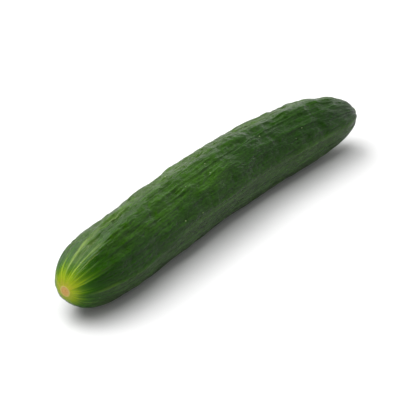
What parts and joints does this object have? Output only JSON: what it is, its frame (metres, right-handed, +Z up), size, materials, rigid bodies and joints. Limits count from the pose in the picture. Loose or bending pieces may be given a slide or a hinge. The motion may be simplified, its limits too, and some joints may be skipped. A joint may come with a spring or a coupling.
{
  "type": "cucumber",
  "caption": "Whole long slicing cucumber with low lengthwise ribs, a round blossom scar at one end and a short cut stalk at the other, lying on its side.",
  "frame": {"origin": "on the resting surface, under the middle of the cucumber's bounding box", "axes": "+X along the length towards the stalk end, +Y towards the outer side of the bow, +Z up"},
  "size_m": [0.3016, 0.0584, 0.0487],
  "materials": {
    "skin": "semi-gloss waxy green skin, paler along the ribs and yellow-green round the blossom scar"
  },
  "bodies": {
    "root": {"cucumber": "skin"}
  },
  "joints": []
}
